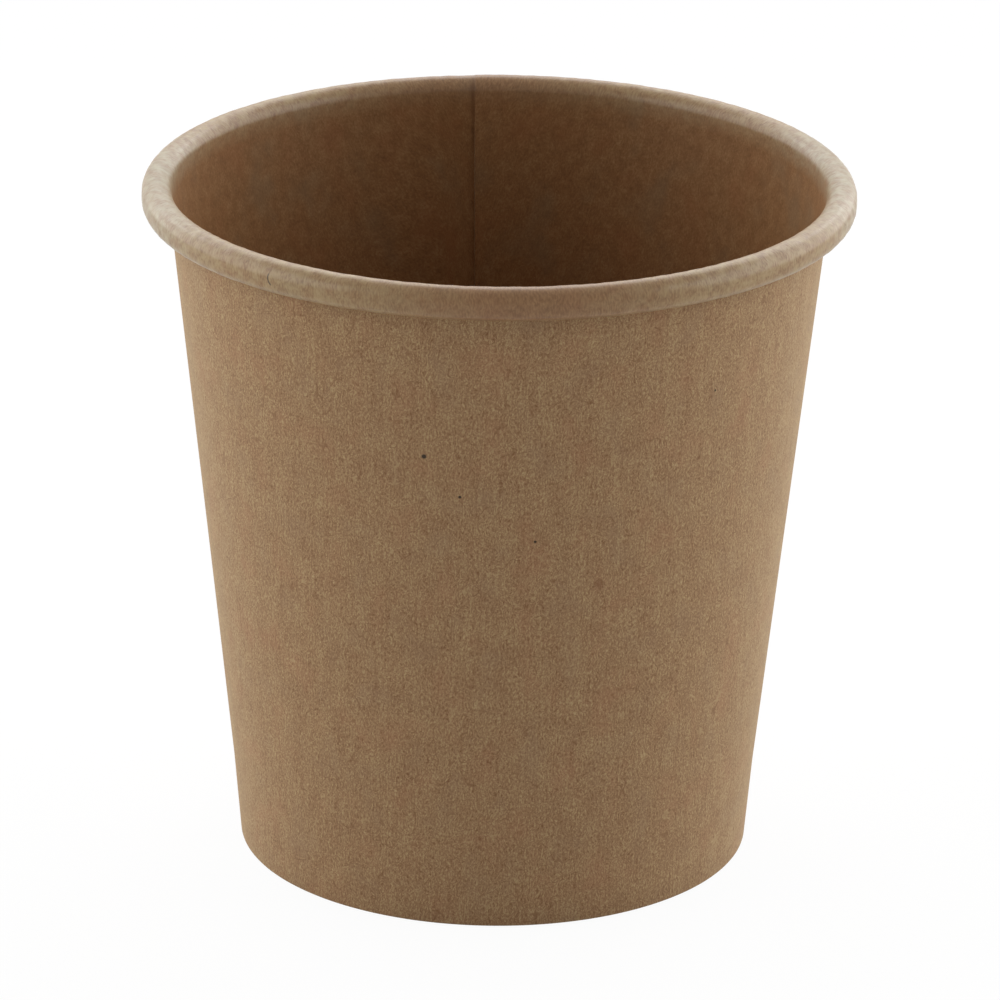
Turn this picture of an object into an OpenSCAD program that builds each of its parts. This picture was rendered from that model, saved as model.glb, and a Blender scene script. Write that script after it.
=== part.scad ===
// A small tapered paper cup for ice cream, made of two paperboard blanks.
// The sidewall is one blank: lapped at a side seam, rolled outward at the rim and folded in at the foot.
// The base is a disc with a turned-down skirt, held between the sidewall and its fold.
// The cup stands on its foot at z = 0, with its axis on Z and the inner edge of the seam in the plane x = 0.

/* [Cup] */
// Height from the floor to the top of the rim
cup_h = 61; // [50:0.5:90]
// Outer diameter of the rolled rim
rim_d = 62; // [58:0.5:80]
// Outer diameter of the foot at the floor
foot_d = 45; // [40:0.5:50]
// Height of the pressed band round the foot
band_h = 7.5; // [5:0.1:12]
// How much the outer radius grows from the floor to the top of that band
band_grow = 0.65; // [0.2:0.05:1.2]

/* [Board] */
// Thickness of the sidewall's board
wall_board = 0.35; // [0.3:0.01:0.42]
// Thickness of the base's board
base_board = 0.35; // [0.3:0.01:0.45]

/* [Rolled rim] */
// Width of the roll, measured along a radius of the cup
roll_w = 2.6; // [2.5:0.05:2.8]
// Height of the roll
roll_h = 2.8; // [2.8:0.05:3.5]
// Gap between two turns of the roll
turn_gap = 0.15; // [0.08:0.01:0.2]
// Angle that the hidden end turns on inside the roll
tuck_turn = 70; // [30:5:110]

/* [Side seam] */
// Width of the lap, from the inner cut edge to the outer one
lap_w = 8; // [5:0.5:12]
// Width beside the lap over which the outer layer eases out over the inner one
ease_w = 8; // [8:0.5:14]
// Height under the roll over which the step at the inner cut edge is pressed out
press_h = 1.2; // [0.6:0.1:1.2]

/* [Base and fold] */
// How far the upper face of the base lies below the top of the foot band
base_drop = 0.5; // [0.2:0.1:1.5]
// Outer radius of the bend between the disc and its skirt
bend_r = 0.8; // [0.6:0.05:1.2]
// Height left between the bend of the base and the top of the fold
fold_gap = 0.3; // [0.1:0.1:1]
// Radius of the rounded edges of the foot
edge_r = 0.25; // [0.15:0.05:0.25]
// Clearance between the sealed boards at the foot
seal_gap = 0.05; // [0.03:0.01:0.08]

/* [Hidden] */
$fn = 96;

// Line segments in each small rounded corner of the foot
corner_steps = 6;
// Direction of the seam in plan, and a spare angle for shapes that are cut back to their edge
seam_at = 90;
spare_turn = 5;

// The foot band leans out, and its outer face runs from the floor to the start of the wall
foot_r = foot_d / 2;
band_r = foot_r + band_grow;
band_lean = atan2(band_grow, band_h);

// The roll starts as a circle that the wall's outer face meets as a tangent
roll_r = roll_w / 2;
roll_c = [rim_d / 2 - roll_r, cup_h - roll_r];
reach = roll_c - [band_r, band_h];
taper = atan2(reach.x, reach.y) - asin((roll_r - wall_board) / norm(reach));
wall_x = wall_board / cos(taper);
wall_dir = [-cos(taper), sin(taper)];
wall_top_in = roll_c + roll_r * wall_dir;
wall_top_out = roll_c + (roll_r - wall_board) * wall_dir;

// Each half turn of the roll closes in by half of a board and its gap
turn_step = (wall_board + turn_gap) / 2;
roll_side = roll_h - roll_w + turn_step;
under_c = roll_c + [turn_step, -roll_side];
under_r = roll_r - turn_step;
tuck_r = roll_r - 2 * turn_step;

// The outer layer leaves the circle of the wall on an arc that is flatter than it by ease_shift in radius,
// and joins the circle of the lap on one that is tighter by as much, so that all three meet as tangents
ease_turn = ease_w / foot_r * 180 / PI;
ease_shift = wall_x / (2 * (1 - cos(ease_turn / 2)));
ease_dir = seam_at + ease_turn;
ease_mid = seam_at + ease_turn / 2;
lap_turn = asin(lap_w / (foot_r - wall_x)) + spare_turn;

// The skirt of the base stands in the pocket between the sidewall and its fold
pocket_x = (base_board + 2 * seal_gap) / cos(band_lean);
pocket_mid = foot_r - wall_x - pocket_x / 2;
land_half = pocket_x / 2 + wall_x - edge_r;
wall_reach = (pocket_x / 2 + land_half) / 2;
fold_reach = wall_x / 2;
base_z = band_h - base_drop;
skirt_z = 2 * wall_board + seal_gap;
fold_z = base_z - bend_r - fold_gap;

// Outer radius of the foot band at a height
function band_at(z) = foot_r + z * tan(band_lean);

// Points along an arc, for a small rounded corner
function arc(c, r, from, to) =
    [for (i = [0 : corner_steps]) let (a = from + (to - from) * i / corner_steps) c + r * [cos(a), sin(a)]];

// Sector of a disc round the origin, of up to half a turn
module disc_sector(r, from, to) {
    far = 2 * r;
    mid = (from + to) / 2;
    intersection() {
        circle(r);
        polygon([
            [0, 0],
            far * [cos(from), sin(from)],
            far * [cos(mid), sin(mid)],
            far * [cos(to), sin(to)]
        ]);
    }
}

// Sector of a ring round the origin, of up to half a turn
module ring_sector(r_out, r_in, from, to) {
    difference() {
        disc_sector(r_out, from, to);
        circle(r_in);
    }
}

// Section of the wall with its half of the foot's land, from the pocket to the start of the roll
module wall_section() {
    edge_c = [foot_r + edge_r * tan(band_lean) - edge_r / cos(band_lean), edge_r];
    polygon(concat(
        [[pocket_mid - wall_reach, 0]],
        arc(edge_c, edge_r, -90, -band_lean),
        [
            [band_r, band_h],
            wall_top_out,
            wall_top_in,
            [band_r - wall_x, band_h],
            [band_at(wall_board) - wall_x, wall_board],
            [pocket_mid - wall_reach, wall_board]
        ]
    ));
}

// Section of the lap's outer layer, bonded through half of the inner layer's thickness
module lap_section() {
    bond = wall_x / 2;
    edge_c = [foot_r + wall_x + edge_r * tan(band_lean) - edge_r / cos(band_lean), edge_r];
    polygon(concat(
        [[foot_r - bond, 0]],
        arc(edge_c, edge_r, -90, -band_lean),
        [
            [band_r + wall_x, band_h],
            wall_top_out + [wall_x, 0],
            wall_top_in + [bond, 0],
            [band_r - bond, band_h],
            [foot_r - bond, wall_board]
        ]
    ));
}

// Section of the roll: over the top, down the side, under, and up again inside its own first turn
module roll_section() {
    translate(roll_c) {
        ring_sector(roll_r, roll_r - wall_board, 0, 180 - taper);
        translate([roll_r - wall_board, -roll_side]) square([wall_board, roll_side]);
        translate([-tuck_r, -roll_side]) square([wall_board, roll_side]);
        ring_sector(tuck_r, tuck_r - wall_board, 180 - tuck_turn, 180);
    }
    translate(under_c) ring_sector(under_r, under_r - wall_board, -180, 0);
}

// Section that fills the roll to the middle of its board, where the double layer packs it solid
module packed_section() {
    half = wall_board / 2;
    translate(roll_c) disc_sector(roll_r - half, 0, 180);
    translate(under_c - [under_r - half, 0]) square([2 * (under_r - half), roll_side]);
    translate(under_c) disc_sector(under_r - half, -180, 0);
}

// Section that carries the inner face from the roll back to the eased-out layer, and ends inside its board
module press_section() {
    deep = wall_top_out + [wall_x / 2, 0];
    polygon([wall_top_in, deep, deep - press_h * [sin(taper), cos(taper)]]);
}

// Section of the fold inside the skirt, with its half of the foot's land
module fold_section() {
    out_x = pocket_mid - pocket_x / 2;
    lean = tan(band_lean);
    edge_c = [out_x - wall_x + edge_r * lean + edge_r / cos(band_lean), edge_r];
    polygon(concat(
        [
            [pocket_mid + fold_reach, 0],
            [pocket_mid + fold_reach, wall_board],
            [out_x + wall_board * lean, wall_board],
            [out_x + fold_z * lean, fold_z],
            [out_x - wall_x + fold_z * lean, fold_z]
        ],
        arc(edge_c, edge_r, 180 - band_lean, 270)
    ));
}

// Sweeps the wall round the cup and eases its end out over the layer that it started from
module lapped_wall() {
    start_dir = [cos(ease_dir), sin(ease_dir)];
    seam_dir = [cos(seam_at), sin(seam_at)];
    translate(-ease_shift * start_dir)
        rotate_extrude(start = ease_mid, angle = ease_turn / 2)
            translate([ease_shift, 0]) wall_section();
    translate(ease_shift * seam_dir)
        rotate_extrude(start = seam_at, angle = ease_turn / 2)
            translate([wall_x - ease_shift, 0]) wall_section();
    intersection() {
        rotate_extrude(start = seam_at - lap_turn, angle = lap_turn + spare_turn) lap_section();
        cube([lap_w, rim_d, cup_h]);
    }
}

module sidewall() {
    color("#8a6d50") {
        rotate_extrude(start = ease_dir, angle = 360 - ease_turn) {
            wall_section();
            roll_section();
            fold_section();
        }
        rotate_extrude(start = seam_at, angle = ease_turn) {
            roll_section();
            packed_section();
            press_section();
            fold_section();
        }
        intersection() {
            rotate_extrude(start = seam_at - lap_turn, angle = lap_turn + spare_turn) packed_section();
            cube([lap_w, rim_d, cup_h]);
        }
        lapped_wall();
    }
}

module base_disc() {
    out_x = foot_r - wall_x - seal_gap / cos(band_lean);
    board_x = base_board / cos(band_lean);
    lean = tan(band_lean);
    bend_c = [out_x + (base_z - bend_r) * lean - bend_r / cos(band_lean), base_z - bend_r];
    skirt_dir = [cos(band_lean), -sin(band_lean)];
    color("#7a5f45") rotate_extrude() {
        translate([0, base_z - base_board]) square([bend_c.x, base_board]);
        translate(bend_c) ring_sector(bend_r, bend_r - base_board, -band_lean, 90);
        polygon([
            bend_c + bend_r * skirt_dir,
            bend_c + (bend_r - base_board) * skirt_dir,
            [out_x - board_x + skirt_z * lean, skirt_z],
            [out_x + skirt_z * lean, skirt_z]
        ]);
    }
}

sidewall();
base_disc();
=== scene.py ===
import math

import bpy
import numpy as np
from mathutils import Matrix, Vector


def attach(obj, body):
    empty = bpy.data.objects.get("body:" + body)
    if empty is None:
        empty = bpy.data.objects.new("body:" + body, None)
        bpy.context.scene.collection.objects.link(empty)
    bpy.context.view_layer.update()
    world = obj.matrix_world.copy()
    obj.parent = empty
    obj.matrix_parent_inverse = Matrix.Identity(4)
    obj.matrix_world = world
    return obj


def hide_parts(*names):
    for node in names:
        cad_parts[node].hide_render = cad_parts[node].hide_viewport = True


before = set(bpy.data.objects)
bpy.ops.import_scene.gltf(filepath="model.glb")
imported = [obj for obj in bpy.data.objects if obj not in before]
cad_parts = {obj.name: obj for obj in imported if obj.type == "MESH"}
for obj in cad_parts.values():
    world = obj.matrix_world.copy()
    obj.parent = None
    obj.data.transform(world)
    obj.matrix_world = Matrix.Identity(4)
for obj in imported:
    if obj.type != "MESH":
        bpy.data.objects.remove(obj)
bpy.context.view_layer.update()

mm = 0.001
sharpAngle = 50     # degrees, faces that meet at more than this keep a sharp edge between them
scene = bpy.context.scene
scene.view_settings.view_transform = "Standard"


# Tools for colours and nodes

# An sRGB hex colour turned to linear light by the sRGB curve
def linearColour(hexText):
    parts = [int(hexText[k:k + 2], 16) / 255 for k in (1, 3, 5)]
    return [c / 12.92 if c <= 0.04045 else ((c + 0.055) / 1.055) ** 2.4 for c in parts] + [1.0]


# Adds a node with its settings and gives one of its outputs. Its inputs are values, hex colours or other outputs, by
# name or number, or in order as a list
def addNode(tree, kind, settings={}, inputs={}, output=0):
    node = tree.nodes.new(kind)
    for name, value in settings.items():
        setattr(node, name, value)
    for name, value in (enumerate(inputs) if isinstance(inputs, list) else inputs.items()):
        if isinstance(value, bpy.types.NodeSocket):
            tree.links.new(value, node.inputs[name])
        else:
            node.inputs[name].default_value = linearColour(value) if isinstance(value, str) else value
    return node.outputs[output]


# Kinds of node that are used often, with their settings. The first two carry a value from one range to another, evenly
# or eased at both ends, and hold it beyond them. The third mixes its inputs 6 and 7 by the share of the second colour
even = ("ShaderNodeMapRange", {"interpolation_type": "LINEAR", "clamp": True})
eased = ("ShaderNodeMapRange", {"interpolation_type": "SMOOTHSTEP", "clamp": True})
mixed = ("ShaderNodeMix", {"data_type": "RGBA"})
product = ("ShaderNodeMath", {"operation": "MULTIPLY"})
greater = ("ShaderNodeMath", {"operation": "MAXIMUM"})
closeTo = ("ShaderNodeMath", {"operation": "COMPARE"})
apart = ("ShaderNodeVectorMath", {"operation": "DISTANCE"})
flatNoise = ("ShaderNodeTexNoise", {"noise_dimensions": "2D"})
boardMap = ("ShaderNodeUVMap", {"uv_map": "boardMap"})


# A material with an empty node tree
def newMaterial(name):
    material = bpy.data.materials.new(name)
    material.use_nodes = True
    material.node_tree.nodes.clear()
    return material, material.node_tree


# Ends a tree with its surface
def finishTree(tree, kind, surface):
    tree.links.new(surface, tree.nodes.new(kind).inputs["Surface"])


# Tools for shapes

# Eases from 0 to 1: three squares less two cubes
def smoothStep(t):
    t = np.clip(t, 0, 1)
    return t * t * (3 - 2 * t)


# Points on a circle at even steps between two angles in degrees: its middle, plus its radius times cosine and sine
def arcPoints(centre, radius, start, end, count):
    a = np.radians(np.linspace(start, end, count))
    return np.array(centre) + radius * np.stack([np.cos(a), np.sin(a)], -1)


# Points at even steps on a straight line
def linePoints(start, end, count):
    return np.linspace(np.array(start, float), np.array(end, float), count)


# Sum of cosines of random phase whose frequency round the cup is whole, so that it meets itself; about -1 to 1
def ripple(rng, turn, along, cycles, alongWave, terms):
    total = np.zeros(np.broadcast(turn, along).shape)
    for _ in range(terms):
        roundCup = rng.integers(cycles[0], cycles[1] + 1) * turn
        alongCup = rng.uniform(-1, 1) * 2 * np.pi * along / alongWave
        total = total + np.cos(roundCup + alongCup + rng.uniform(0, 2 * np.pi))
    return total / math.sqrt(2 * terms)


# Quads between neighbouring rows and columns of a grid, as rows of four vertex numbers
def gridQuads(rows, cols, closeRows=False, closeCols=False):
    i = np.arange(rows if closeRows else rows - 1)[:, None]
    j = np.arange(cols if closeCols else cols - 1)[None, :]
    below, above = i * cols, (i + 1) % rows * cols
    return np.stack([below + j, below + (j + 1) % cols, above + (j + 1) % cols, above + j], -1).reshape(-1, 4)


# Six times the volume inside the faces is the sum of the triple products of their corners, and its sign tells which
# way they face. A triangle repeats its last corner, so to turn it only its first two change places
def facesOutward(points, quads):
    a, b, c, d = (points[quads[:, k]] for k in range(4))
    total = (np.cross(a, b) * c).sum() + (np.cross(a, c) * d).sum()
    isTriangle = quads[:, 2:3] == quads[:, 3:4]
    return quads if total > 0 else np.where(isTriangle, quads[:, [1, 0, 2, 3]], quads[:, ::-1])


# Puts points in mm, quads, a flat map in mm and material numbers into one smooth mesh with values at its points
def makePiece(name, points, quads, flatMap, finish, materials, attributes):
    quads = facesOutward(points, quads)
    faces = [q[:3] if q[2] == q[3] else q for q in quads.tolist()]
    mesh = bpy.data.meshes.new(name)
    mesh.from_pydata((points * mm).tolist(), [], faces)
    corners = np.zeros(len(mesh.loops), int)
    mesh.loops.foreach_get("vertex_index", corners)
    mesh.uv_layers.new(name="boardMap").uv.foreach_set("vector", flatMap[corners].ravel())
    mesh.polygons.foreach_set("material_index", finish.astype(np.int32))
    for label, values in attributes.items():
        mesh.attributes.new(label, "FLOAT", "POINT").data.foreach_set("value", values.ravel().astype(np.float32))
    for material in materials:
        mesh.materials.append(material)
    mesh.shade_smooth()
    mesh.set_sharp_from_angle(angle=math.radians(sharpAngle))
    mesh.update()
    piece = bpy.data.objects.new(name, mesh)
    scene.collection.objects.link(piece)
    print(name, len(points), "points,", sum(len(f) - 2 for f in faces), "triangles")
    return piece


# Camera, light and table

# The direction from the cup at an azimuth and an elevation; azimuth 0 is the side of the photograph. Its parts are the
# azimuth's sine and negative cosine, both times the elevation's cosine, and the elevation's sine
def awayFromCup(v):
    a, e = math.radians(v["azimuth"]), math.radians(v["elevation"])
    return Vector((math.sin(a) * math.cos(e), -math.cos(a) * math.cos(e), math.sin(e)))


view = {
    "aim": (0, 0, 30.5),             # mm, the middle of the cup
    "distance": 620,                 # mm
    "azimuth": -4.65,                # degrees, towards -X
    "elevation": 20.65,
    "roll": 0.61,
    "lens": 253.2, "sensor": 36,     # mm
    "shift": (0.00395, 0.00589),
}


# A long lens that looks back at its aim, rolled by a small angle
def makeCamera(v):
    away = awayFromCup(v)
    data = bpy.data.cameras.new("camera")
    data.lens, data.sensor_width = v["lens"], v["sensor"]
    data.shift_x, data.shift_y = v["shift"]
    data.clip_start, data.clip_end = 0.01, 20
    camera = bpy.data.objects.new("camera", data)
    place = Vector(v["aim"]) * mm + away * v["distance"] * mm
    turn = (-away).to_track_quat("-Z", "Y").to_matrix() @ Matrix.Rotation(math.radians(v["roll"]), 3, "Z")
    camera.matrix_world = Matrix.Translation(place) @ turn.to_4x4()
    scene.collection.objects.link(camera)
    scene.camera = camera


makeCamera(view)

# Distances and sizes in metres; each light is aimed at the middle of the cup
lights = {
    "left": {"azimuth": -105, "elevation": 17, "distance": 0.8, "width": 1.6, "height": 0.9, "watts": 10.0},
    "right": {"azimuth": 105, "elevation": 17, "distance": 0.8, "width": 1.6, "height": 0.9, "watts": 11.1},
    "back": {"azimuth": 180, "elevation": 38, "distance": 0.9, "width": 1.2, "height": 0.6, "watts": 5.0},
}
lightAim = (0, 0, 0.03)


# A soft box on a circle round the cup, facing it
def makeLight(name, v):
    away = awayFromCup(v)
    data = bpy.data.lights.new(name, "AREA")
    data.shape, data.size, data.size_y, data.energy = "RECTANGLE", v["width"], v["height"], v["watts"]
    light = bpy.data.objects.new(name, data)
    turn = away.to_track_quat("Z", "Y").to_matrix().to_4x4()
    light.matrix_world = Matrix.Translation(away * v["distance"] + Vector(lightAim)) @ turn
    scene.collection.objects.link(light)


for name, values in lights.items():
    makeLight(name, values)


# The greatest of three kinds of ray: 1 where the camera, a mirror or glass sees a surface directly, and 0 for the
# light that the surface gives
def seenDirectly(tree):
    seen = 0.0
    for kind in ("Is Camera Ray", "Is Glossy Ray", "Is Transmission Ray"):
        seen = addNode(tree, *greater, [addNode(tree, "ShaderNodeLightPath", output=kind), seen])
    return seen


surroundings = {"tint": "#ffffff", "strength": 0.23}


# White where it is seen, and a dim fill where it lights the cup
def makeSurroundings(v):
    world = bpy.data.worlds.new("surroundings")
    scene.world = world
    world.use_nodes = True
    tree = world.node_tree
    tree.nodes.clear()
    fill = addNode(tree, "ShaderNodeBackground", {}, {"Color": v["tint"], "Strength": v["strength"]})
    white = addNode(tree, "ShaderNodeBackground", {}, {"Color": (1, 1, 1, 1), "Strength": 1.0})
    mix = addNode(tree, "ShaderNodeMixShader", {}, [seenDirectly(tree), fill, white])
    finishTree(tree, "ShaderNodeOutputWorld", mix)


makeSurroundings(surroundings)

tableTop = {
    "tint": "#e9e8e6",
    "glow": 0.94,               # share of plain white near the cup
    "near": 60, "far": 300,     # mm, where that share starts to grow and where it is whole
    "halfSize": 900,            # mm
    "drop": 0.02,               # mm, keeps it clear of the foot's face
}


# A pale matt table that looks white to the camera and keeps the cup's shadow near it
def makeTable(v):
    material, tree = newMaterial("paleTable")
    matt = addNode(tree, "ShaderNodeBsdfDiffuse", {}, {"Color": v["tint"]})
    paper = addNode(tree, "ShaderNodeBsdfDiffuse", {}, {"Color": (1, 1, 1, 1)})
    white = addNode(tree, "ShaderNodeEmission", {}, {"Color": (1, 1, 1, 1), "Strength": 1.0})
    where = addNode(tree, "ShaderNodeTexCoord", output="Object")
    away = addNode(tree, "ShaderNodeVectorMath", {"operation": "LENGTH"}, [where], "Value")
    glow = addNode(tree, *eased, [away, v["near"] * mm, v["far"] * mm, v["glow"], 1.0])
    shown = addNode(tree, "ShaderNodeMixShader", {}, [glow, paper, white])
    mix = addNode(tree, "ShaderNodeMixShader", {}, [seenDirectly(tree), matt, shown])
    finishTree(tree, "ShaderNodeOutputMaterial", mix)
    h, z = v["halfSize"] * mm, -v["drop"] * mm
    mesh = bpy.data.meshes.new("tableTop")
    mesh.from_pydata([(-h, -h, z), (h, -h, z), (h, h, z), (-h, h, z)], [], [(0, 1, 2, 3)])
    mesh.materials.append(material)
    table = bpy.data.objects.new("tableTop", mesh)
    scene.collection.objects.link(table)


makeTable(tableTop)
print("camera, light and table made")


# Finishes. Every pattern on the board's faces is laid on the flat blank, in mm across and along the grain

# The flat map bent by a slow noise, so that fibres curl: the noise less its middle, times the reach, is added to it
def curledMap(tree, place, reach, size):
    flat = addNode(tree, *boardMap)
    moved = addNode(tree, "ShaderNodeMapping", {"vector_type": "POINT"}, {"Vector": flat, "Location": place})
    slow = addNode(tree, *flatNoise, {"Vector": moved, "Scale": 1 / size, "Detail": 1.0}, "Color")
    centred = addNode(tree, "ShaderNodeVectorMath", {"operation": "SUBTRACT"}, [slow, (0.5, 0.5, 0.5)])
    bend = addNode(tree, "ShaderNodeVectorMath", {"operation": "SCALE"}, {0: centred, "Scale": reach})
    return addNode(tree, "ShaderNodeVectorMath", {"operation": "ADD"}, [moved, bend])


# Noise stretched to the width and length of a fibre in mm, turned by an angle from the grain
def fibreNoise(tree, flat, width, length, angle, place, detail):
    laid = addNode(
        tree, "ShaderNodeMapping", {"vector_type": "TEXTURE"},
        {"Vector": flat, "Location": place, "Rotation": (0, 0, math.radians(angle)), "Scale": (width, length, 1)},
    )
    return addNode(tree, *flatNoise, {"Vector": laid, "Scale": 1.0, "Detail": detail}, "Fac")


# The noises of a board's layers of fibres, each with its weight in the web
def fibreLayers(tree, flat, v):
    width, length, detail = v["fibreWidth"], v["fibreLength"], v["detail"]
    return [
        (fibreNoise(tree, flat, width * wide, length * long, angle, place, detail), weight)
        for angle, wide, long, weight, place in v["layers"]
    ]


# One half plus a weighted sum of values, each taken about its middle of one half
def blendValues(tree, pairs):
    total = 0.5
    for value, weight in pairs:
        part = addNode(tree, "ShaderNodeMath", {"operation": "MULTIPLY_ADD"}, [value, weight, -0.5 * weight])
        total = addNode(tree, "ShaderNodeMath", {"operation": "ADD"}, [part, total])
    return total


# Deep, mean and pale by the tone of the fibres, then rusty and greyish patches where a slow noise is high or low
def boardColour(tree, v, tone, slow):
    colour = v["deep"]
    for kind, value, low, high, share, tint in (
        (even, tone, 0.0, 0.5, 1.0, "mean"), (even, tone, 0.5, 1.0, 1.0, "pale"),
        (eased, slow, 0.5, 0.8, v["patches"], "rusty"), (eased, slow, 0.5, 0.2, v["patches"], "greyish"),
    ):
        much = addNode(tree, *kind, [value, low, high, 0.0, share])
        colour = addNode(tree, *mixed, {0: much, 6: colour, 7: v[tint]}, 2)
    return colour


# Thin curled lines where a slow noise crosses its middle, kept only where a second noise is high
def strayFibres(tree, flat, size, halfWidth, seed, share):
    level = fibreNoise(tree, flat, size, size * 1.4, 20, (11.0 + seed, 3.0, 0), 0.0)
    line = addNode(tree, *closeTo, [level, 0.5, halfWidth])
    second = fibreNoise(tree, flat, 1.1, 1.5, 0, (4.0, 12.0 + seed, 0), 0.0)
    kept = addNode(tree, *eased, [second, 0.54, 0.6, 0.0, share])
    return addNode(tree, *product, [line, kept])


# Lengths in mm
kraft = {
    "deep": "#714a2b", "mean": "#92714f", "pale": "#b1986e",     # shade between fibres, average, loose pale fibres
    "fibreWidth": 0.11, "fibreLength": 0.4, "detail": 1.5,       # real ones are a quarter as wide, too fine to show
    "curl": (0.5, 1.2),                                          # how far fibres curl, and over what length
    "layers": [     # degrees from the grain, shares of the width and the length, weight, place of the noise
        (4, 1.0, 1.0, 0.8, (3.1, 1.7, 0)), (32, 1.0, 0.8, 0.6, (8.3, 4.9, 0)),
        (-38, 1.0, 0.8, 0.6, (1.9, 7.7, 0)), (82, 1.1, 0.6, 0.5, (5.2, 9.4, 0)),
    ],
    "drawnWidth": 0.14, "drawnLength": 7.0, "drawnWeight": 0.35,     # streaks drawn out along the grain
    "contrast": 1.05,
    "cloudSize": 1.6, "cloudDepth": 0.35,                        # uneven pulp
    "rusty": "#99684a", "greyish": "#8d7257", "patches": 0.25,
    "patchSize": (3.5, 4.5),
    "strays": [     # single fibres: tint, size of their curls, half width as a level of noise, seed, share of the tint
        ("deep", 1.6, 0.016, 0.0, 0.45), ("pale", 1.2, 0.018, 5.0, 0.35),
    ],
    "bark": "#2c1c10",
    "specks": [     # of bark: across and along the grain, radius
        (8.3, 253.0, 0.2), (5.2, 249.5, 0.13), (-1.2, 245.4, 0.12), (-17.8, 256.6, 0.1),
        (41.0, 236.0, 0.13), (-52.0, 240.0, 0.16), (63.0, 222.5, 0.1), (-34.5, 228.0, 0.11),
    ],
    "roughness": 0.78, "relief": 0.008,
    "fuzz": 0.15, "fuzzTint": "#f6f7cc",                         # sheen of loose fibre ends, seen at the sides
}


# Unbleached kraft board, pressed on a wire and left uncoated: matt, with short brown fibres mostly along the grain,
# a few stray ones and specks of bark. Its tone is a weighted sum of the web of fibres and of a cloud
def kraftBoard(name, v, place):
    material, tree = newMaterial(name)
    flat = curledMap(tree, place, *v["curl"])
    drawn = fibreNoise(tree, flat, v["drawnWidth"], v["drawnLength"], 0.5, (7.1, 3.3, 0), 1.0)
    web = blendValues(tree, fibreLayers(tree, flat, v) + [(drawn, v["drawnWeight"])])
    cloud = fibreNoise(tree, flat, v["cloudSize"], v["cloudSize"] * 1.5, 0, (2.2, 6.1, 0), 3.0)
    tone = blendValues(tree, [(web, v["contrast"]), (cloud, v["cloudDepth"])])
    slow = fibreNoise(tree, flat, *v["patchSize"], 0, (13.0, 2.0, 0), 3.0)
    colour = boardColour(tree, v, tone, slow)
    for tint, size, halfWidth, seed, share in v["strays"]:
        stray = strayFibres(tree, flat, size, halfWidth, seed, share)
        colour = addNode(tree, *mixed, {0: stray, 6: colour, 7: v[tint]}, 2)
    where = addNode(tree, *boardMap)
    spot = 0.0
    for acrossGrain, alongGrain, radius in v["specks"]:
        off = addNode(tree, *apart, [where, (acrossGrain, alongGrain, 0)], "Value")
        near = addNode(tree, *eased, [off, 0.7 * radius, 1.3 * radius, 1.0, 0.0])
        spot = addNode(tree, *greater, [near, spot])
    colour = addNode(tree, *mixed, {0: spot, 6: colour, 7: v["bark"]}, 2)
    bump = addNode(tree, "ShaderNodeBump", {}, {"Strength": 1.0, "Distance": v["relief"] * mm, "Height": web})
    surface = addNode(
        tree, "ShaderNodeBsdfPrincipled", {},
        {
            "Base Color": colour, "Roughness": v["roughness"], "IOR": 1.45, "Normal": bump,
            "Sheen Weight": v["fuzz"], "Sheen Roughness": 0.5, "Sheen Tint": v["fuzzTint"],
        },
    )
    finishTree(tree, "ShaderNodeOutputMaterial", surface)
    return material


# Lengths in mm
coated = {
    "deep": "#5a371a", "mean": "#815b36", "pale": "#9f7d57",
    "fibreWidth": 0.14, "fibreLength": 0.35, "detail": 2.5,
    "curl": (0.4, 1.2),
    "layers": [
        (2, 1.0, 1.0, 1.0, (6.1, 2.7, 0)), (50, 1.0, 1.0, 0.5, (1.3, 8.9, 0)), (-58, 1.0, 1.0, 0.5, (7.9, 5.7, 0)),
    ],
    "contrast": 0.6,
    "cloudSize": 1.0, "cloudDepth": 0.45,
    "rusty": "#84512d", "greyish": "#75644b", "patches": 0.3,    # where more or less of the film wets the fibres
    "patchSize": (4.5, 6.0),
    "speckled": 0.3,                                             # how much its fibres stand out on the roll
    "stretched": "#aa956c", "paintedSideSheen": "#b0ab90",                  # whitened film on the roll, and a painted milky sheen at the cup's sides
    "whitening": (0.12, 0.75),                                   # least and most share of it, in smears
    "smearSize": (1.1, 0.8), "fleckSize": (0.15, 0.4),
    "frontWhitening": 0.06, "wholeFrom": 0.6,                    # its share in front, and from where it is whole; the growth towards the sides is painted sheen
    "paintedSheenFrom": 0.84,                                           # from where it turns to the painted milky sheen, also as a side share
    "roughness": 0.7, "relief": 0.004,
    "film": 0.25, "rimFilm": 0.6, "filmRoughness": 0.3,          # the film's shine on the wall and on the roll
    "hair": {       # one dark curled fibre on the roll, as an arc
        "tint": "#33261a", "share": 0.8, "centre": (21.01, 270.69, 0), "radius": 0.73, "halfWidth": 0.06,
        "middle": (21.63, 270.82, 0), "halfLength": 0.55,
    },
}


# The share where a point of the blank is a radius away from the arc's centre, within half a width. It fades to 0
# with the distance from the arc's own middle
def hairLine(tree, v):
    where = addNode(tree, *boardMap)
    out, off = (addNode(tree, *apart, [where, v[key]], "Value") for key in ("centre", "middle"))
    line = addNode(tree, *closeTo, [out, v["radius"], v["halfWidth"]])
    fade = addNode(tree, *eased, [off, 0.7 * v["halfLength"], v["halfLength"], v["share"], 0.0])
    return addNode(tree, *product, [line, fade])
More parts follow.
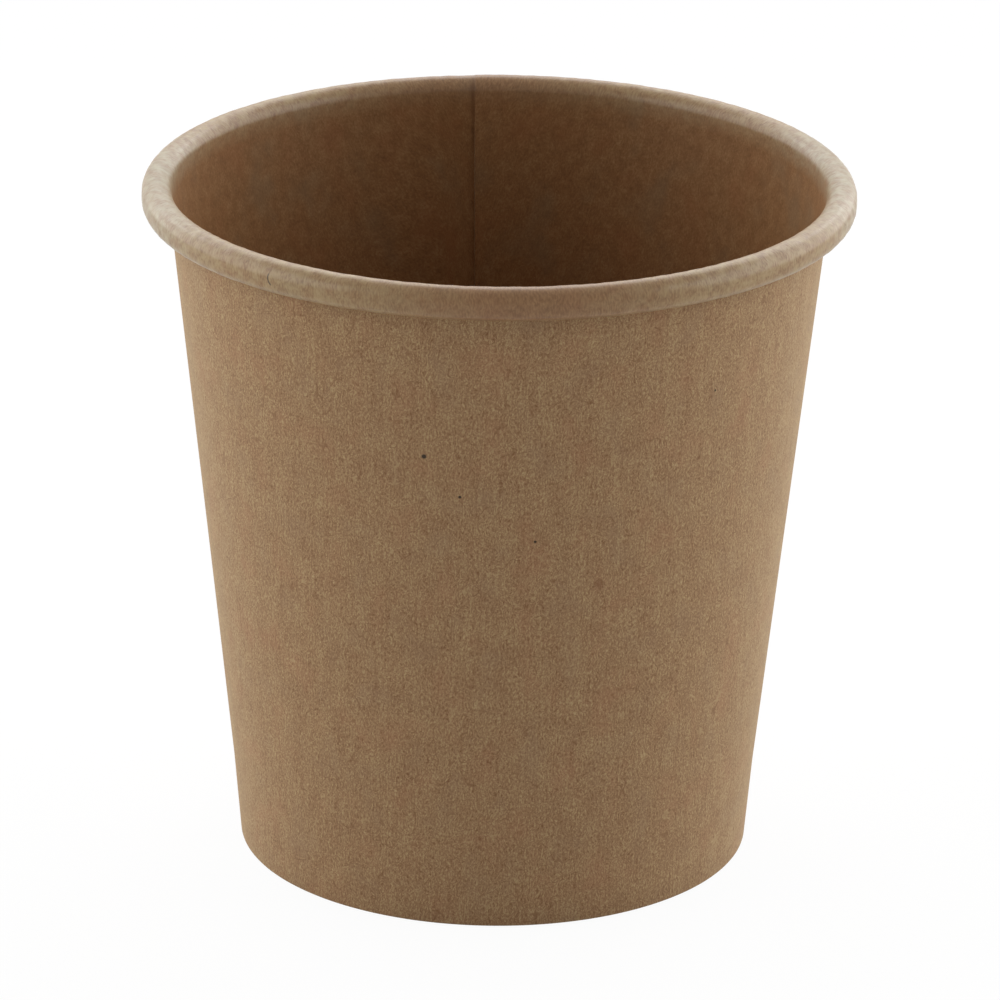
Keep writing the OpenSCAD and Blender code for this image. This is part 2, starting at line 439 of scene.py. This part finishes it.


# The same board under a thin polyethylene film: darker and redder, cloudy where the film wets the fibres, and satin.
# On the roll, where it is stretched, the film is whitened in smears, by the product of the shares of the roll, of the
# cup's sides and of the wear. The greater share at the cup's sides, milky at the far sides, is a painted sheen, and
# a thin painted shade line darkens the crevice beside the seam's inner edge
def coatedBoard(name, v, place):
    material, tree = newMaterial(name)
    flat = curledMap(tree, place, *v["curl"])
    web = blendValues(tree, fibreLayers(tree, flat, v))
    cloud = fibreNoise(tree, flat, v["cloudSize"], v["cloudSize"] * 1.4, 0, (9.2, 1.1, 0), 3.0)
    tone = blendValues(tree, [(web, v["contrast"]), (cloud, v["cloudDepth"])])
    slow = fibreNoise(tree, flat, *v["patchSize"], 0, (21.0, 4.0, 0), 2.0)
    colour = boardColour(tree, v, tone, slow)

    roll, side, seamShadeShare = (
        addNode(tree, "ShaderNodeAttribute", {"attribute_name": label}, output="Fac")
        for label in ("rollShare", "sheenSideShare", "paintedSeamShade")
    )
    smears = fibreNoise(tree, flat, *v["smearSize"], 15, (3.3, 4.4, 0), 2.0)
    flecks = fibreNoise(tree, flat, *v["fleckSize"], 2, (6.6, 7.7, 0), 2.5)
    paleFleck = addNode(tree, *eased, [flecks, 0.2, 0.8])
    speckled = addNode(tree, *mixed, {0: paleFleck, 6: v["deep"], 7: v["pale"]}, 2)
    speckling = addNode(tree, *even, [roll, 0.0, 1.0, 0.0, v["speckled"]])
    worn = addNode(tree, *eased, [blendValues(tree, [(smears, 0.8), (flecks, 0.5)]), 0.15, 0.85, *v["whitening"]])
    # Painted sheen: from its small share in front the whitening grows to whole at the cup's sides, milky at the far
    # sides
    whiteningAndSheenShare = addNode(tree, *eased, [side, 0.0, v["wholeFrom"], v["frontWhitening"], 1.0])
    white = addNode(tree, *product, [addNode(tree, *product, [roll, whiteningAndSheenShare]), worn])
    paintedSheenMix = addNode(tree, *eased, [side, v["paintedSheenFrom"], 1.0])
    whitenedAndSheenTint = addNode(tree, *mixed, {0: paintedSheenMix, 6: v["stretched"], 7: v["paintedSideSheen"]}, 2)
    # The seam share mixes in the deep tint: a painted shade of the crevice beside the inner cut edge
    for share, tint in (
        (speckling, speckled), (white, whitenedAndSheenTint), (seamShadeShare, v["deep"]), (hairLine(tree, v["hair"]), v["hair"]["tint"])
    ):
        colour = addNode(tree, *mixed, {0: share, 6: colour, 7: tint}, 2)
    film = addNode(tree, *even, [roll, 0.0, 1.0, v["film"], v["rimFilm"]])
    bump = addNode(tree, "ShaderNodeBump", {}, {"Strength": 1.0, "Distance": v["relief"] * mm, "Height": web})
    surface = addNode(
        tree, "ShaderNodeBsdfPrincipled", {},
        {
            "Base Color": colour, "Roughness": v["roughness"], "IOR": 1.3, "Normal": bump,
            "Coat Weight": film, "Coat Roughness": v["filmRoughness"], "Coat IOR": 1.5,
        },
    )
    finishTree(tree, "ShaderNodeOutputMaterial", surface)
    return material


cutBoard = {"deep": "#8d7458", "pale": "#cbb698", "layer": 0.06}     # mm


# The cut edge of the board: pale torn fibres in thin layers, quite matt
def cutEdge(name, v):
    material, tree = newMaterial(name)
    where = addNode(tree, "ShaderNodeTexCoord", output="Object")
    layers = {"Vector": where, "Scale": 1 / (v["layer"] * mm), "Detail": 2.0}
    share = addNode(tree, *eased, [addNode(tree, "ShaderNodeTexNoise", {}, layers, "Fac"), 0.3, 0.7])
    colour = addNode(tree, *mixed, {0: share, 6: v["deep"], 7: v["pale"]}, 2)
    surface = addNode(tree, "ShaderNodeBsdfPrincipled", {}, {"Base Color": colour, "Roughness": 0.9, "IOR": 1.45})
    finishTree(tree, "ShaderNodeOutputMaterial", surface)
    return material


# The order that the pieces' material numbers follow: uncoated face, coated face, cut edge
finishes = [
    kraftBoard("kraftBoardOutside", kraft, (40, 260, 0)),
    coatedBoard("coatedBoardInside", coated, (160, 90, 0)),
    cutEdge("boardCutEdge", cutBoard),
]
print("finishes made")


# The sidewall: one blank, folded at the foot, lapped at the seam and rolled at the rim. Lengths in mm

sidewall = {
    "height": 61, "rimRadius": 31, "footRadius": 22.5,
    "bandRadius": 23.15, "bandHeight": 7.5,              # pressed band round the foot
    "board": 0.35,
    "edgeRadius": 0.25, "creaseRadius": 0.04,            # of the foot's bends, on the uncoated and on the coated face
    "rollRadius": 1.3, "rollSide": 0.45,                 # the roll's sides are straight over this height
    "turnStep": 0.25, "tuckTurn": 70,                    # how much each half turn closes in, degrees of the tucked end
    "pocket": 0.4517, "foldTop": 5.9,                    # room for the base's skirt, and the height of the fold
    "lapWidth": 8, "easeWidth": 8,                       # of the lap, and of the outer layer's way out beside it
    "pressHeight": 7,                                    # height under the roll where the lap's step is pressed out
    "rollStep": 0.04, "liftedFold": 0.04,                # what is left of that step on the roll and at the fold
    "footLift": 0.4,                                     # share of the fold's lift at the foot's outer edge
    "cutWidth": 0.25, "cutDepth": 0.08,                  # rounding of the cut edges
    "groove": 0.02, "grooveWidth": 0.3,                  # dent of the outer layer beside the inner cut edge
    "seamShadeDepth": 0.7, "seamShadeWidth": 0.2,               # painted shade line of the crevice beside that edge, above the dent
    "seamShadeFrom": 0.3, "seamShadeOver": 1.5,            # where it fades, along the board from the start of the roll
    "whitenFrom": -1.4, "whitenOver": 2.6,               # where the film starts to whiten, likewise
    # ripples: least and most waves round the cup, their reach along the board, number of terms
    "wave": 0.03, "waveForm": ((2, 7), 90, 8),           # unevenness of the wall
    "waveFrom": 8, "waveOver": 20,                       # heights over which it grows
    "rimWrinkle": 0.03, "wrinkleOver": 1.2,              # creases of the roll, and the length over which they start
    "fineForm": ((60, 150), 6, 18), "broadForm": ((20, 50), 12, 8), "broadShare": 0.7,
    "rows": {"bend": 5, "fold": 5, "land": 4, "band": 4, "wall": 15, "press": 6, "over": 21, "under": 15, "tuck": 6},
    "columns": 570, "lapColumns": 18,
    "seamSteps": [0, 0.03, 0.07, 0.12, 0.18, 0.25, 0.33, 0.45, 0.6, 0.8, 1.1],   # columns beside the inner cut edge
    "endSteps": 6,                                       # how many of them stand beside the outer one
}


# Section of the board as pairs of points, on its uncoated face and on its coated face, from the top of the fold
# round the foot, up the wall and round the roll. With each pair go the shares of the lap's outward step, of the
# step across the roll and of the lift of the fold. The roll is an arc that the wall meets as a tangent, and each
# half turn of it has its middle moved by one turn step and its radius less by as much
def boardSection(v):
    board, edge, crease, rollR, rows = (v[k] for k in ("board", "edgeRadius", "creaseRadius", "rollRadius", "rows"))
    bandOut = [v["bandRadius"], v["bandHeight"]]
    slope = (v["bandRadius"] - v["footRadius"]) / v["bandHeight"]
    lean = math.atan(slope)
    rollC = np.array([v["rimRadius"] - rollR, v["height"] - rollR])
    reach = rollC - bandOut
    taper = math.atan2(reach[0], reach[1]) - math.asin((rollR - board) / np.hypot(*reach))
    wallX = board / math.cos(taper)
    across = np.array([-math.cos(taper), math.sin(taper)])
    topIn, topOut = rollC + rollR * across, rollC + (rollR - board) * across
    bandIn = [v["bandRadius"] - wallX, v["bandHeight"]]
    leanDeg, taperDeg = math.degrees(lean), math.degrees(taper)

    # The bends of the foot, rounded on both faces
    foldX = v["footRadius"] - wallX - v["pocket"]
    foldTop = [foldX + v["foldTop"] * slope, v["foldTop"]]
    foldBend, footBend = (180 - leanDeg, 270, rows["bend"]), (-90, -leanDeg, rows["bend"])
    foldEdge = arcPoints([foldX - wallX + edge * slope + edge / math.cos(lean), edge], edge, *foldBend)
    footEdge = arcPoints([v["footRadius"] + edge * slope - edge / math.cos(lean), edge], edge, *footBend)
    foldCrease = arcPoints([foldX + board * slope + crease, board + crease], crease, *foldBend)
    footCrease = arcPoints([v["footRadius"] + board * slope - wallX - crease, board + crease], crease, *footBend)

    # The rise of the wall, with closer rows where the lap's step is pressed out
    pressLow = 1 - v["pressHeight"] / (topOut[1] - v["bandHeight"])
    rise = np.concatenate([np.linspace(0, pressLow, rows["wall"]), np.linspace(pressLow, 1, rows["press"])[1:]])
    rise = rise[1:, None]
    pressed = smoothStep((rise[:, 0] - pressLow) / (1 - pressLow))

    underC = rollC + [v["turnStep"], -v["rollSide"]]
    underR, tuckR = rollR - v["turnStep"], rollR - 2 * v["turnStep"]
    over = [arcPoints(rollC, radius, 180 - taperDeg, 0, rows["over"])[1:] for radius in (rollR - board, rollR)]
    under = [arcPoints(underC, radius, 0, -180, rows["under"]) for radius in (underR - board, underR)]
    tucked = [arcPoints(rollC, radius, 180, 180 - v["tuckTurn"], rows["tuck"]) for radius in (tuckR - board, tuckR)]
    fold, land, band = rows["fold"], rows["land"], rows["band"]
    stages = [
        # uncoated face, coated face, outward step, step across the roll, lift of the fold
        (linePoints([foldTop[0] - wallX, foldTop[1]], foldEdge[0], fold), linePoints(foldTop, foldCrease[0], fold),
         0, 0, 1),
        (foldEdge[1:], foldCrease[1:], 0, 0, 1),
        (linePoints(foldEdge[-1], footEdge[0], land)[1:], linePoints(foldCrease[-1], footCrease[0], land)[1:],
         np.linspace(0, 1, land)[1:], 0, 1),
        (footEdge[1:], footCrease[1:], 1, 0, np.linspace(1, v["footLift"], rows["bend"])[1:]),
        (linePoints(footEdge[-1], bandOut, band)[1:], linePoints(footCrease[-1], bandIn, band)[1:],
         1, 0, np.linspace(v["footLift"], 0, band)[1:]),
        (bandOut + rise * (topOut - bandOut), bandIn + rise * (topIn - bandIn), 1 - pressed, pressed, 0),
        (*over, 0, 1, 0),
        (*under, 0, 1, 0),
        (*tucked, 0, 1, 0),
    ]
    bare = np.concatenate([s[0] for s in stages])
    film = np.concatenate([s[1] for s in stages])
    shares = [np.concatenate([np.broadcast_to(s[k], len(s[0])) for s in stages]) for k in (2, 3, 4)]

    # Lengths along the middle of the board, from the start of the roll and from the point of the wall's cone
    middle = (bare + film) / 2
    path = np.concatenate([[0], np.cumsum(np.hypot(*np.diff(middle, axis=0).T))])
    wallFoot = np.argmin(np.abs(middle - (np.array(bandOut) + bandIn) / 2).sum(1))
    wallEnd = np.argmin(np.abs(middle - (topIn + topOut) / 2).sum(1))
    slant = middle[wallFoot, 0] / math.sin(taper) + path - path[wallFoot]
    return {
        "bare": bare, "film": film, "shares": shares, "slant": slant, "roll": path - path[wallEnd],
        "taper": taper, "wallX": wallX,
    }


# The turns of the columns in radians, from the inner cut edge once round the cup and on to the end of the lap, whose
# angle at each row is the arcsine of its width over the radius. Columns stand closer together beside both cut edges
def columnTurns(v, r):
    near = np.array(v["seamSteps"]) / v["footRadius"]
    even = np.linspace(near[-1], 2 * np.pi - near[-1], v["columns"])[1:-1]
    once = np.concatenate([near, even, 2 * np.pi - near[::-1]])[None, :]
    back = np.array(v["seamSteps"][:v["endSteps"]]) / v["lapWidth"]
    lapShare = np.concatenate([np.linspace(0, 1 - back[-1], v["lapColumns"])[1:-1], 1 - back[::-1]])[None, :]
    return np.concatenate([np.repeat(once, len(r), 0), 2 * np.pi + lapShare * np.arcsin(v["lapWidth"] / r)], 1)


# How the sheet moves out over its own start: on an arc that is flatter than the wall's circle by the shift, then on
# one that is tighter than the lap's by as much. All of them meet as tangents, and the lap is one board further out.
# Gives what is added to the radius, where the circles' middles are, and how much of the way is done
def easedOut(v, turn, wallX):
    ease = v["easeWidth"] / v["footRadius"]
    shift = wallX / (2 * (1 - math.cos(ease / 2)))
    tiny = 1e-9
    easing = turn - (2 * np.pi - ease)
    easing = np.where(np.abs(easing) < tiny, 0, easing)
    first = (easing > 0) & (easing <= ease / 2)
    second = (easing > ease / 2) & (easing <= ease + tiny)
    lap = easing > ease + tiny
    extra = np.where(first, shift, np.where(second, wallX - shift, np.where(lap, wallX, 0)))
    centreX = np.where(first, shift * math.sin(ease), 0)
    centreY = np.where(first, -shift * math.cos(ease), np.where(second, shift, 0))
    return extra, centreX, centreY, smoothStep(easing / ease)


# Carries the section round the cup by its turn from the inner cut edge: the radius at a point is the section's, plus
# what the lap adds to it, plus a small push from the coated face towards the uncoated one
def sheetPoints(v, section):
    rng = np.random.default_rng(11)
    bare, film = section["bare"], section["film"]
    face = np.concatenate([bare, film[::-1]])
    toBare = np.concatenate([bare - film, (bare - film)[::-1]]) / v["board"]
    outward, rolled, lifted, slant, roll = (
        np.concatenate([q, q[::-1]])[:, None] for q in (*section["shares"], section["slant"], section["roll"])
    )
    r, z = face[:, 0:1], face[:, 1:2]
    turn = columnTurns(v, r)
    extra, centreX, centreY, done = easedOut(v, turn, section["wallX"])
    begun = 1 - smoothStep((turn * v["footRadius"] - v["lapWidth"]) / v["easeWidth"])

    # Slow unevenness of the wall, and creases across the roll where the board is stretched; both only draw inward
    roundUp = turn % (2 * np.pi)
    uneven = ripple(rng, roundUp, z, *v["waveForm"])
    creases = ripple(rng, roundUp, roll, *v["fineForm"])
    creases = creases + v["broadShare"] * ripple(rng, roundUp, roll, *v["broadForm"])
    onRoll = smoothStep(roll / v["wrinkleOver"])
    wrinkle = onRoll * v["rimWrinkle"] * 0.5 * np.clip(1 + creases, 0, 2)
    wave = v["wave"] * smoothStep((z - v["waveFrom"]) / v["waveOver"]) * (1 + uneven) * 0.5 * (1 - onRoll)

    # The cut edges are rounded off as quarters of an ellipse, and the outer layer is dented beside the inner one
    isFilm = (np.arange(len(face)) >= len(bare))[:, None]
    fromStart, fromEnd = turn * r, (2 * np.pi + np.arcsin(v["lapWidth"] / r) - turn) * r
    startCut, endCut = (
        v["cutDepth"] * (1 - np.sqrt(1 - np.clip(1 - t / v["cutWidth"], 0, 1) ** 2)) for t in (fromStart, fromEnd)
    )
    dent = v["groove"] * np.exp(-(((turn - 2 * np.pi) * r / v["grooveWidth"]) ** 2)) * outward

    push = rolled * v["rollStep"] * done - lifted * v["liftedFold"] * begun + wrinkle
    push = push + np.where(isFilm, startCut + dent, -endCut)
    rr = r + outward * extra + push * toBare[:, 0:1] - wave
    zz = z + push * toBare[:, 1:2]
    angle = np.pi / 2 - turn
    points = np.stack([outward * centreX + rr * np.cos(angle), outward * centreY + rr * np.sin(angle), zz], -1)

    # The wall's cone unrolled: the slant length, turned by the turn times the sine of the taper
    fan = (turn - np.pi) * math.sin(section["taper"])
    flatMap = np.stack([slant * np.sin(fan), slant * np.cos(fan)], -1)

    # The film's whitening grows towards the cup's sides, partly as a painted sheen, and a thin painted shade line
    # marks the crevice beside the pressed edge
    width = v["seamShadeWidth"]
    seamShadeBand = np.exp(-((((turn - 2 * np.pi) * r + width) / width) ** 2)) * (1 - outward)
    attributes = {
        "rollShare": smoothStep((roll - v["whitenFrom"]) / v["whitenOver"]) + 0 * turn,
        "sheenSideShare": np.abs(np.sin(turn)),
        "paintedSeamShade": v["seamShadeDepth"] * seamShadeBand * (1 - smoothStep((roll - v["seamShadeFrom"]) / v["seamShadeOver"])),
    }
    return points, flatMap, attributes


# The sheet's grid closed over both long edges, with a row of quads between its faces at each cut end
def makeSidewall(v):
    points, flatMap, attributes = sheetPoints(v, boardSection(v))
    rows, cols = points.shape[:2]
    half = rows // 2
    k = np.arange(half - 1)
    cap = np.stack([k, rows - 1 - k, rows - 2 - k, k + 1], -1) * cols
    quads = np.concatenate([gridQuads(rows, cols, closeRows=True), cap[:, ::-1], cap + cols - 1])
    ring = np.repeat(np.arange(rows), cols - 1)
    onEdge = (ring == half - 1) | (ring == rows - 1)
    finish = np.concatenate([np.where(onEdge, 2, np.where(ring < half, 0, 1)), np.full(2 * len(k), 2)])
    return makePiece("cupSidewall", points.reshape(-1, 3), quads, flatMap.reshape(-1, 2), finish, finishes, attributes)


cupSidewall = makeSidewall(sidewall)
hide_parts("sidewall")
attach(cupSidewall, "root")


# The base: one disc with its edge turned down into a skirt that stands in the fold. Lengths in mm

base = {
    "top": 7.0, "board": 0.35, "bendRadius": 0.8, "skirtFoot": 0.75,
    "skirtRadius": 22.098, "slope": 0.65 / 7.5,      # the skirt's outer radius at the table, and its lean
    "poleRadius": 1.2,                               # inside it, a fan of triangles
    "flatEdge": 2,                                   # width beside the bend that doesn't sag and has closer rows
    "sag": 0.12, "sagWidth": 18,
    "pucker": 0.03, "puckerFrom": 17, "puckerOver": 3, "puckerForm": ((40, 90), 8, 12),
    "rows": {"middle": 14, "edge": 5, "bend": 9, "skirt": 4},
    "columns": 240,
}


# Section of the base from its middle out over the top, round the bend, down the skirt and back along its inner face,
# and the number of its points on the outer face
def baseSection(v):
    lean = math.atan(v["slope"])
    leanDeg = math.degrees(lean)
    bendZ = v["top"] - v["bendRadius"]
    bendC = [v["skirtRadius"] + bendZ * v["slope"] - v["bendRadius"] / math.cos(lean), bendZ]
    outFoot = [v["skirtRadius"] + v["skirtFoot"] * v["slope"], v["skirtFoot"]]
    inFoot = [outFoot[0] - v["board"] / math.cos(lean), v["skirtFoot"]]
    rows, edge = v["rows"], bendC[0] - v["flatEdge"]
    middle = np.linspace(v["poleRadius"], edge, rows["middle"])
    radii = np.concatenate([middle, np.linspace(edge, bendC[0], rows["edge"])[1:]])
    upper = np.stack([radii, np.full_like(radii, v["top"])], -1)
    lower = np.stack([radii[::-1], np.full_like(radii, v["top"] - v["board"])], -1)[1:]
    outBend = arcPoints(bendC, v["bendRadius"], 90, -leanDeg, rows["bend"])[1:]
    inBend = arcPoints(bendC, v["bendRadius"] - v["board"], -leanDeg, 90, rows["bend"])
    skirtOut = linePoints(outBend[-1], outFoot, rows["skirt"])[1:]
    skirtIn = linePoints(inFoot, inBend[0], rows["skirt"])[:-1]
    outside = np.concatenate([upper, outBend, skirtOut])
    return np.concatenate([outside, skirtIn, inBend, lower]), len(outside)


# The section turned round the axis, sagging towards its middle and puckered round the bend, with a fan of triangles
# at the middle of each face
def makeBase(v):
    rng = np.random.default_rng(5)
    section, outside = baseSection(v)
    rows, cols = len(section), v["columns"]
    turn = np.linspace(0, 2 * np.pi, cols, endpoint=False)[None, :]
    r, z = section[:, 0:1], section[:, 1:2]
    underside = v["top"] - v["board"]
    onDisc, onBend = z > underside - 0.05, z > underside - 0.3     # both faces of the disc, and those of the bend too
    sag = v["sag"] * smoothStep((v["skirtRadius"] - v["flatEdge"] - r) / v["sagWidth"]) * onDisc
    uneven = 1 + ripple(rng, turn, r, *v["puckerForm"])
    gathered = smoothStep((r - v["puckerFrom"]) / v["puckerOver"]) * onBend * uneven * 0.5
    zz = z - sag - v["pucker"] * gathered
    points = np.stack([r * np.cos(turn), r * np.sin(turn), zz], -1)
    flat = np.concatenate([points.reshape(-1, 3), [[0, 0, zz[0, 0]], [0, 0, zz[-1, 0]]]])

    j = np.arange(cols)
    nextJ = (j + 1) % cols
    topPole, lowPole = np.full(cols, rows * cols), np.full(cols, rows * cols + 1)
    lastRow = (rows - 1) * cols
    topFan = np.stack([nextJ, j, topPole, topPole], -1)
    lowFan = np.stack([lastRow + j, lastRow + nextJ, lowPole, lowPole], -1)
    quads = np.concatenate([gridQuads(rows, cols, closeCols=True), topFan, lowFan])
    ring = np.repeat(np.arange(rows - 1), cols)
    onFaces = np.where(ring < outside - 1, 1, np.where(ring == outside - 1, 2, 0))
    finish = np.concatenate([onFaces, np.full(cols, 1), np.full(cols, 0)])
    nothing = np.zeros(len(flat))
    attributes = {"rollShare": nothing, "sheenSideShare": nothing, "paintedSeamShade": nothing}
    return makePiece("cupBase", flat, quads, flat[:, :2], finish, finishes, attributes)


cupBase = makeBase(base)
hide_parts("base_disc")
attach(cupBase, "root")
print("cup made")
